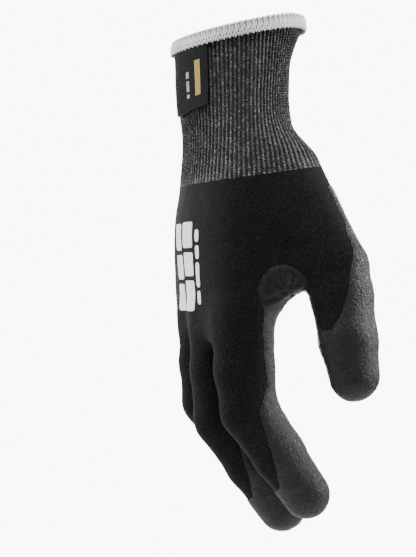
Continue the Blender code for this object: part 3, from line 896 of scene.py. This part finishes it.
def make_band(edge):
    """The cloth folded over the mouth, as rows of points round it that end where they start."""
    turn = np.arange(BAND_TURNS) / BAND_TURNS
    rows = [edge.place(turn, np.full(BAND_TURNS, over)) for over in np.linspace(*BAND_PATH, BAND_ROWS)]
    outer = np.array(rows)
    fold = edge.place(turn, np.full(BAND_TURNS, EDGE_SIDE))
    fold = fold - EDGE_FOLD * edge.normal[(turn * EDGE_POINTS).astype(int)]
    inner = outer + BAND_WALL * unit((fold - outer) * (1.0, 1.0, 0.3))
    points = np.concatenate([outer, inner[::-1]]).reshape(-1, 3)
    first = np.arange(BAND_TURNS)
    following = (first + 1) % BAND_TURNS
    faces = []
    for row in range(2 * BAND_ROWS):
        here = row * BAND_TURNS
        there = (row + 1) % (2 * BAND_ROWS) * BAND_TURNS
        faces.append(np.stack([
            here + first, here + following, there + following, there + first], axis=1))
    # Its dark colour is partly the cuff's knit and partly painted shade in the gaps between the
    # stitches.
    band = make_object("overlock_band", points, np.concatenate(faces), BAND)
    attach(band, "cuff")


def looper_thread(edge, start, lean, radius):
    """A thread that goes over the fold and back once to a stitch."""
    wave = 0.5 - 0.5 * np.cos(edge.phase)
    turn = (edge.stitch + start + lean * np.sin(edge.phase)) / EDGE_STITCHES
    path = edge.place(turn, 0.1 + (BAND_PATH[1] - 0.2) * wave)
    path += 0.22 * np.cos(np.pi * wave)[:, None] * unit(path * (1.0, 1.0, 0.0))
    return tube(path, np.full(len(path), radius))


def needle_thread(edge):
    """The row of stitches along the foot of the fold's outer side."""
    phase = edge.phase
    path = edge.along(0.22, 0.25 + 0.5 * np.cos(phase))
    path += (0.30 + 0.2 * np.sin(phase))[:, None] * unit(path * (1.0, 1.0, 0.0))
    return tube(path, 0.36 + 0.06 * np.cos(2 * phase))


def chain_thread(edge, past, swing):
    """A row of chain stitches on top of the fold."""
    path = edge.along(0.18, EDGE_SIDE + past + swing * np.cos(edge.phase))
    path[:, 2] += 0.25 + 0.15 * np.sin(2 * edge.phase)
    return tube(path, np.full(len(path), CHAIN_RADIUS))


def make_edge():
    """Overlock: a band folded over the mouth, and the threads that are looped round it."""
    edge = Edge()
    make_band(edge)
    parts = [looper_thread(edge, *looper) for looper in LOOPERS]
    parts.append(needle_thread(edge))
    parts += [chain_thread(edge, *row) for row in CHAINS]
    threads = make_object("overlock_threads", *joined(parts), THREAD)
    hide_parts("overlock_edge")
    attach(threads, "cuff")


# The label: where it is round the cuff, its knit map's width, and how it hangs off the ribs
LABEL_ANGLES = (-93.0, -46.0)
LABEL_WIDTH = 28.0
LABEL_HEIGHT = 28.5
LABEL_SKEW = 2.0
LABEL_TUCK = 1.2
LABEL_CLEARANCE = 1.0
LABEL_STAND = 0.7
LABEL_CURL = 0.5
LABEL_WAVE = 0.25
LABEL_DASHES = ((0.40, 0.50), (0.54, 0.70), (0.74, 0.80))


def label_point(across, down, rise):
    """Points on the label: across it and down it from 0 to 1, and rise off its face."""
    low, high = np.radians(LABEL_ANGLES)
    turn = low + (high - low) * across
    height = LABEL_TUCK - EDGE_DROP - LABEL_HEIGHT * down - LABEL_SKEW * (1 - across) * down
    points = on_surface(turn, lambda y: mouth_level(y) + height)
    normals = unit(gradient(points) * (1.0, 1.0, 0.0))
    curl = LABEL_CURL * (2 * across - 1) ** 2 * down
    wave = LABEL_WAVE * np.sin(5.0 * down + 2.0 * across)
    stand = LABEL_CLEARANCE + LABEL_STAND * down ** 1.3 + curl + wave * down
    return points + (stand + rise)[:, None] * normals


def patch_object(name, across, down, rise, thickness, material, columns=20, rows=22):
    """A thin closed piece over a rectangle of the label."""
    s, t = np.meshgrid(np.linspace(*across, columns + 1), np.linspace(*down, rows + 1))
    s = s.ravel()
    t = t.ravel()
    front = label_point(s, t, np.full(len(s), rise))
    back = label_point(s, t, np.full(len(s), rise - thickness))
    size = len(s)
    a = (np.arange(rows)[:, None] * (columns + 1) + np.arange(columns)).ravel()
    faces = [np.stack([a, a + columns + 1, a + columns + 2, a + 1], axis=1)]
    faces.append(faces[0][:, ::-1] + size)
    top = np.arange(columns)
    foot = rows * (columns + 1) + top
    left = np.arange(rows) * (columns + 1)
    right = left + columns
    faces.append(np.stack([top, top + 1, top + 1 + size, top + size], axis=1))
    faces.append(np.stack([foot + 1, foot, foot + size, foot + 1 + size], axis=1))
    down_one = columns + 1
    faces.append(np.stack([left + down_one, left, left + size, left + down_one + size], axis=1))
    faces.append(np.stack([right, right + down_one, right + down_one + size, right + size], axis=1))
    faces = np.concatenate(faces)
    place = np.concatenate([np.stack([s * LABEL_WIDTH, t * LABEL_HEIGHT], axis=1)] * 2)
    made = make_object(name, np.concatenate([front, back]), faces, material,
                       {"knit": place[faces]})
    bevel = made.modifiers.new("soft edge", "BEVEL")
    bevel.width = 0.12 * MM
    bevel.segments = 2
    bevel.limit_method = "ANGLE"
    return made


def make_label():
    """The label, with plain bars in place of its mark."""
    label = patch_object("wrist_label_cloth", (0.0, 1.0), (0.0, 1.0), 0.45, 0.9, LABEL)
    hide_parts("wrist_label")
    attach(label, "cuff")
    bar = patch_object("label_yellow_bar", (0.70, 0.83), (0.26, 0.80), 0.55, 0.09, YELLOW, 6, 20)
    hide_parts("label_accent")
    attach(bar, "cuff")
    for number, (start, end) in enumerate(LABEL_DASHES, 1):
        dash = patch_object(f"label_grey_dash_{number}", (0.46, 0.54), (start, end), 0.54, 0.08,
                            GREY, 3, 8)
        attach(dash, "cuff")


# Hand, fingers and thumb --------------------------------------------------------------------------


def bend_way(before, place, after):
    """The direction through a joint, halfway between those of the bones on its two sides."""
    before, place, after = (np.array(p[:3], float) for p in (before, place, after))
    return unit(unit(place - before) + unit(after - place))


# How far before their hinges the cuts lie, at the base of each finger and of the thumb
BASE_ROOM = 6.5
THUMB_ROOM = 4.0

# The coat: its wobbling edge, the width over which it thickens, and how far it stands off the knit
COAT_WOBBLE = 0.5
COAT_TAPER = 1.6
COAT_FOOT = 0.03
COAT_RIM = 0.12
COAT_BODY = 0.36

# The box round the hand, how far the hand goes up past the end of the ribs, and a value that is
# above any distance from a cut
HAND_BOX = ((-52.0, -42.0, -232.0), (82.0, 56.0, -52.0))
HAND_TUCK = 0.4
FAR = 50.0


def make_piece(name, surface, kind):
    """(knit, coat) of one stretch of the glove."""
    points, triangles = surface
    rise = ripple(points)
    knit = make_shell(f"{name}_knit_cloth", surface, rise, rise - KNIT_WALL, KNIT,
                      knit_map(points, triangles, kind))
    inside = coat_values(points) + COAT_WOBBLE * noise_at(points, 6.0, 2.0)
    skin = clip((np.column_stack([points, rise, inside]), triangles), inside)
    places = skin[0][:, :3]
    rise = skin[0][:, 3]
    depth = np.clip(skin[0][:, 4] / COAT_TAPER, 0.0, 1.0)
    crinkle = 0.10 * noise_at(places, 3.2, 1.0) + 0.12 * noise_at(places, 1.7, 4.0)
    outer = rise + COAT_RIM + depth * (COAT_BODY + crinkle + web_creases(places))
    coat = make_shell(f"{name}_coat_skin", (places, skin[1]), outer, rise + COAT_FOOT, COAT)
    return knit, coat


def make_bending_piece(digit, bodies, surface):
    """One piece of a finger or thumb, made in place of the CAD's parts of that name."""
    name = bodies[1]
    knit, coat = make_piece(name, surface, digit)
    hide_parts(f"{name}_knit", f"{name}_stretch")
    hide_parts(f"{name}_coat")
    for piece in (knit, coat):
        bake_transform(piece)


def finger_ways(joints):
    """The direction through each of a finger's three hinges."""
    line = (2 * np.array(joints[0]) - np.array(joints[1]), *joints)
    return [bend_way(*line[k:k + 3]) for k in range(3)]


def halves(surface, place, way):
    """The parts of a surface before and past a plane across a way."""
    past = (surface[0] - place) @ unit(way)
    return clip(surface, -past), clip(surface, past)


def before_digits(points):
    """How far points are above the cuts where the fingers and the thumb start."""
    keep = np.full(len(points), FAR)
    band = finger_of(points)
    for number, joints in enumerate(FINGERS.values()):
        way = finger_ways(joints)[0]
        cut = np.array(joints[0][:3]) - BASE_ROOM * way
        keep = np.where(band == number, np.minimum(keep, (cut - points) @ way), keep)
    way = bend_way(THUMB_KNUCKLE, THUMB[0], THUMB[1])
    cut = np.array(THUMB[0][:3]) - THUMB_ROOM * way
    return np.where(thumb_part(points), (cut - points) @ way, keep)


def make_finger(name, rest):
    """A finger in three pieces, cut at the middles of its bones."""
    places = [np.array(j[:3]) for j in FINGERS[name]]
    ways = finger_ways(FINGERS[name])
    bodies = ["hand"] + [f"{name}_{part}" for part in ("proximal", "middle", "tip")]
    for k, way in enumerate(ways):
        piece = rest
        if k < 2:
            piece, rest = halves(rest, (places[k] + places[k + 1]) / 2, way + ways[k + 1])
        make_bending_piece(name, (bodies[k], bodies[k + 1]), piece)


def make_thumb(rest):
    """The thumb in two pieces."""
    base, end = (np.array(j[:3]) for j in THUMB[:2])
    base_way = bend_way(THUMB_KNUCKLE, THUMB[0], THUMB[1])
    end_way = bend_way(*THUMB)
    lower, upper = halves(rest, (base + end) / 2, base_way + end_way)
    make_bending_piece("thumb", ("hand", "thumb_base"), lower)
    make_bending_piece("thumb", ("thumb_base", "thumb_tip"), upper)


def make_hand():
    """The hand with its print, the fingers and the thumb, all cut from one surface."""
    net = surface_net(*HAND_BOX)
    net = clip(net, foot_level(net[0][:, 1]) + HAND_TUCK - net[0][:, 2])
    keep = before_digits(net[0])
    shell = clip(net, keep)
    knit, coat = make_piece("hand", shell, "hand")
    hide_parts("hand_shell")
    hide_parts("palm_coat")
    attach(knit, "hand")
    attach(coat, "hand")
    make_print(shell)
    on_thumb = thumb_part(net[0])
    band = finger_of(net[0])
    for number, name in enumerate(FINGERS):
        make_finger(name, clip(net, np.where((band == number) & ~on_thumb, -keep, -FAR)))
    make_thumb(clip(net, np.where(on_thumb, -keep, -FAR)))


# Columns of plain bars on the back of the hand: low x, high x, then the bars' low and high z
PRINT_COLUMNS = (
    (-7.5, 2.5, ((-126.0, -114.0), (-112.0, -101.0), (-99.0, -87.0))),
    (5.0, 17.0, ((-126.0, -112.5), (-110.5, -100.0), (-98.0, -86.5))),
    (19.8, 23.2, ((-123.0, -117.0), (-115.5, -104.5), (-103.0, -97.0), (-95.5, -90.0))),
)
PRINT_CORNER = 1.2
PRINT_SIDES = (0.16, 0.02)
# The first bars stand for the CAD's, one for each
CAD_BARS = 6


def inside_bar(points, low_x, high_x, low_z, high_z):
    """How far inside a bar with round corners points are."""
    side = np.abs(points[:, 0] - (low_x + high_x) / 2) - (high_x - low_x) / 2 + PRINT_CORNER
    rise = np.abs(points[:, 2] - (low_z + high_z) / 2) - (high_z - low_z) / 2 + PRINT_CORNER
    outside = np.hypot(np.maximum(side, 0.0), np.maximum(rise, 0.0))
    return PRINT_CORNER - outside - np.minimum(np.maximum(side, rise), 0.0)


def make_print(shell):
    """Plain bars, in place of the mark, on the back of the hand."""
    back = clip(shell, -12.0 - shell[0][:, 1])
    bars = [(low, high, *rows) for low, high, column in PRINT_COLUMNS for rows in column]
    for number, sides in enumerate(bars, 1):
        bar = clip(back, inside_bar(back[0], *sides))
        outer, inner = (ripple(bar[0]) + side for side in PRINT_SIDES)
        piece = make_shell(f"print_block_{number}", bar, outer, inner, PRINT,
                           knit_map(bar[0], bar[1], "hand"))
        if number <= CAD_BARS:
            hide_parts(f"print_bar_{number}")
        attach(piece, "hand")


# Stage, in metres ---------------------------------------------------------------------------------

# The camera: the way it looks, its distance, its target and the width it shows there
CAMERA_TURN = math.radians(75.0)
CAMERA_AWAY = 0.8
TARGET_SIDE = -0.0136
TARGET_HEIGHT = -0.1116
FRAME_WIDTH = 0.18909
SENSOR = 36.0

# Lamps: name, how far to the camera, to the right of it and up from the target, and watts
LAMPS = (
    ("left", -0.25, -0.75, 0.3, 12.0),
    ("right", -0.2, 0.75, 0.25, 11.0),
    ("top", 0.45, 0.1, 0.85, 10.0),
)
LAMP_SIZE = 0.5
WORLD_STRENGTH = 0.42

# Backdrop: width, height and distance behind the target
BACKDROP = (1.6, 2.0, 2.0)
BACKDROP_GLOW = 9.0
FLOOR_RADIUS = 0.3
FLOOR_HEIGHT = -0.300


def add_light(name, place, target, power):
    lamp = bpy.data.lights.new(name, "AREA")
    lamp.shape = "DISK"
    lamp.size = LAMP_SIZE
    lamp.energy = power
    made = bpy.data.objects.new(name, lamp)
    made.location = place
    made.rotation_euler = (Vector(target) - Vector(place)).to_track_quat("-Z", "Y").to_euler()
    bpy.context.scene.collection.objects.link(made)


def add_camera(target, back):
    lens = bpy.data.cameras.new("camera")
    lens.sensor_fit = "HORIZONTAL"
    lens.sensor_width = SENSOR
    lens.lens = SENSOR * CAMERA_AWAY / FRAME_WIDTH
    lens.clip_end = 20.0
    camera = bpy.data.objects.new("camera", lens)
    camera.location = target + CAMERA_AWAY * back
    camera.rotation_euler = (-back).to_track_quat("-Z", "Y").to_euler()
    bpy.context.scene.collection.objects.link(camera)
    bpy.context.scene.camera = camera


def add_floor():
    bpy.ops.mesh.primitive_circle_add(
        vertices=96, radius=FLOOR_RADIUS, fill_type="NGON", location=(0.0, 0.0, FLOOR_HEIGHT))
    floor = bpy.context.object
    floor.name = "floor"
    n = Nodes("pale_floor")
    cloud = n.noise(30.0, 2.0)
    floor.data.materials.append(n.finish(
        Base_Color=n.ramp(cloud, (0.3, (0.80, 0.80, 0.80)), (0.7, (0.84, 0.84, 0.84))),
        Roughness=0.7))


def add_backdrop(target, back):
    width, height, away = BACKDROP
    bpy.ops.mesh.primitive_plane_add(size=1.0, location=target - away * back)
    panel = bpy.context.object
    panel.name = "backdrop"
    panel.scale = (width, height, 1.0)
    panel.rotation_euler = back.to_track_quat("Z", "Y").to_euler()
    n = Nodes("lit_backdrop")
    panel.data.materials.append(n.finish(
        Base_Color=(0.8, 0.8, 0.8, 1.0), Roughness=0.9, Emission_Color=(1.0, 1.0, 1.0, 1.0),
        Emission_Strength=BACKDROP_GLOW))


def make_stage():
    right = Vector((math.cos(CAMERA_TURN), math.sin(CAMERA_TURN), 0.0))
    back = Vector((math.sin(CAMERA_TURN), -math.cos(CAMERA_TURN), 0.0))
    above = Vector((0.0, 0.0, 1.0))
    target = TARGET_SIDE * right + TARGET_HEIGHT * above
    add_camera(target, back)
    add_floor()
    world = bpy.data.worlds.new("white")
    world.use_nodes = True
    background = world.node_tree.nodes["Background"]
    background.inputs["Color"].default_value = (1.0, 1.0, 1.0, 1.0)
    background.inputs["Strength"].default_value = WORLD_STRENGTH
    bpy.context.scene.world = world
    for name, near, side, up, power in LAMPS:
        add_light(name, target + near * back + side * right + up * above, target, power)
    add_backdrop(target, back)


make_cuff()
make_edge()
make_label()
make_hand()
make_stage()
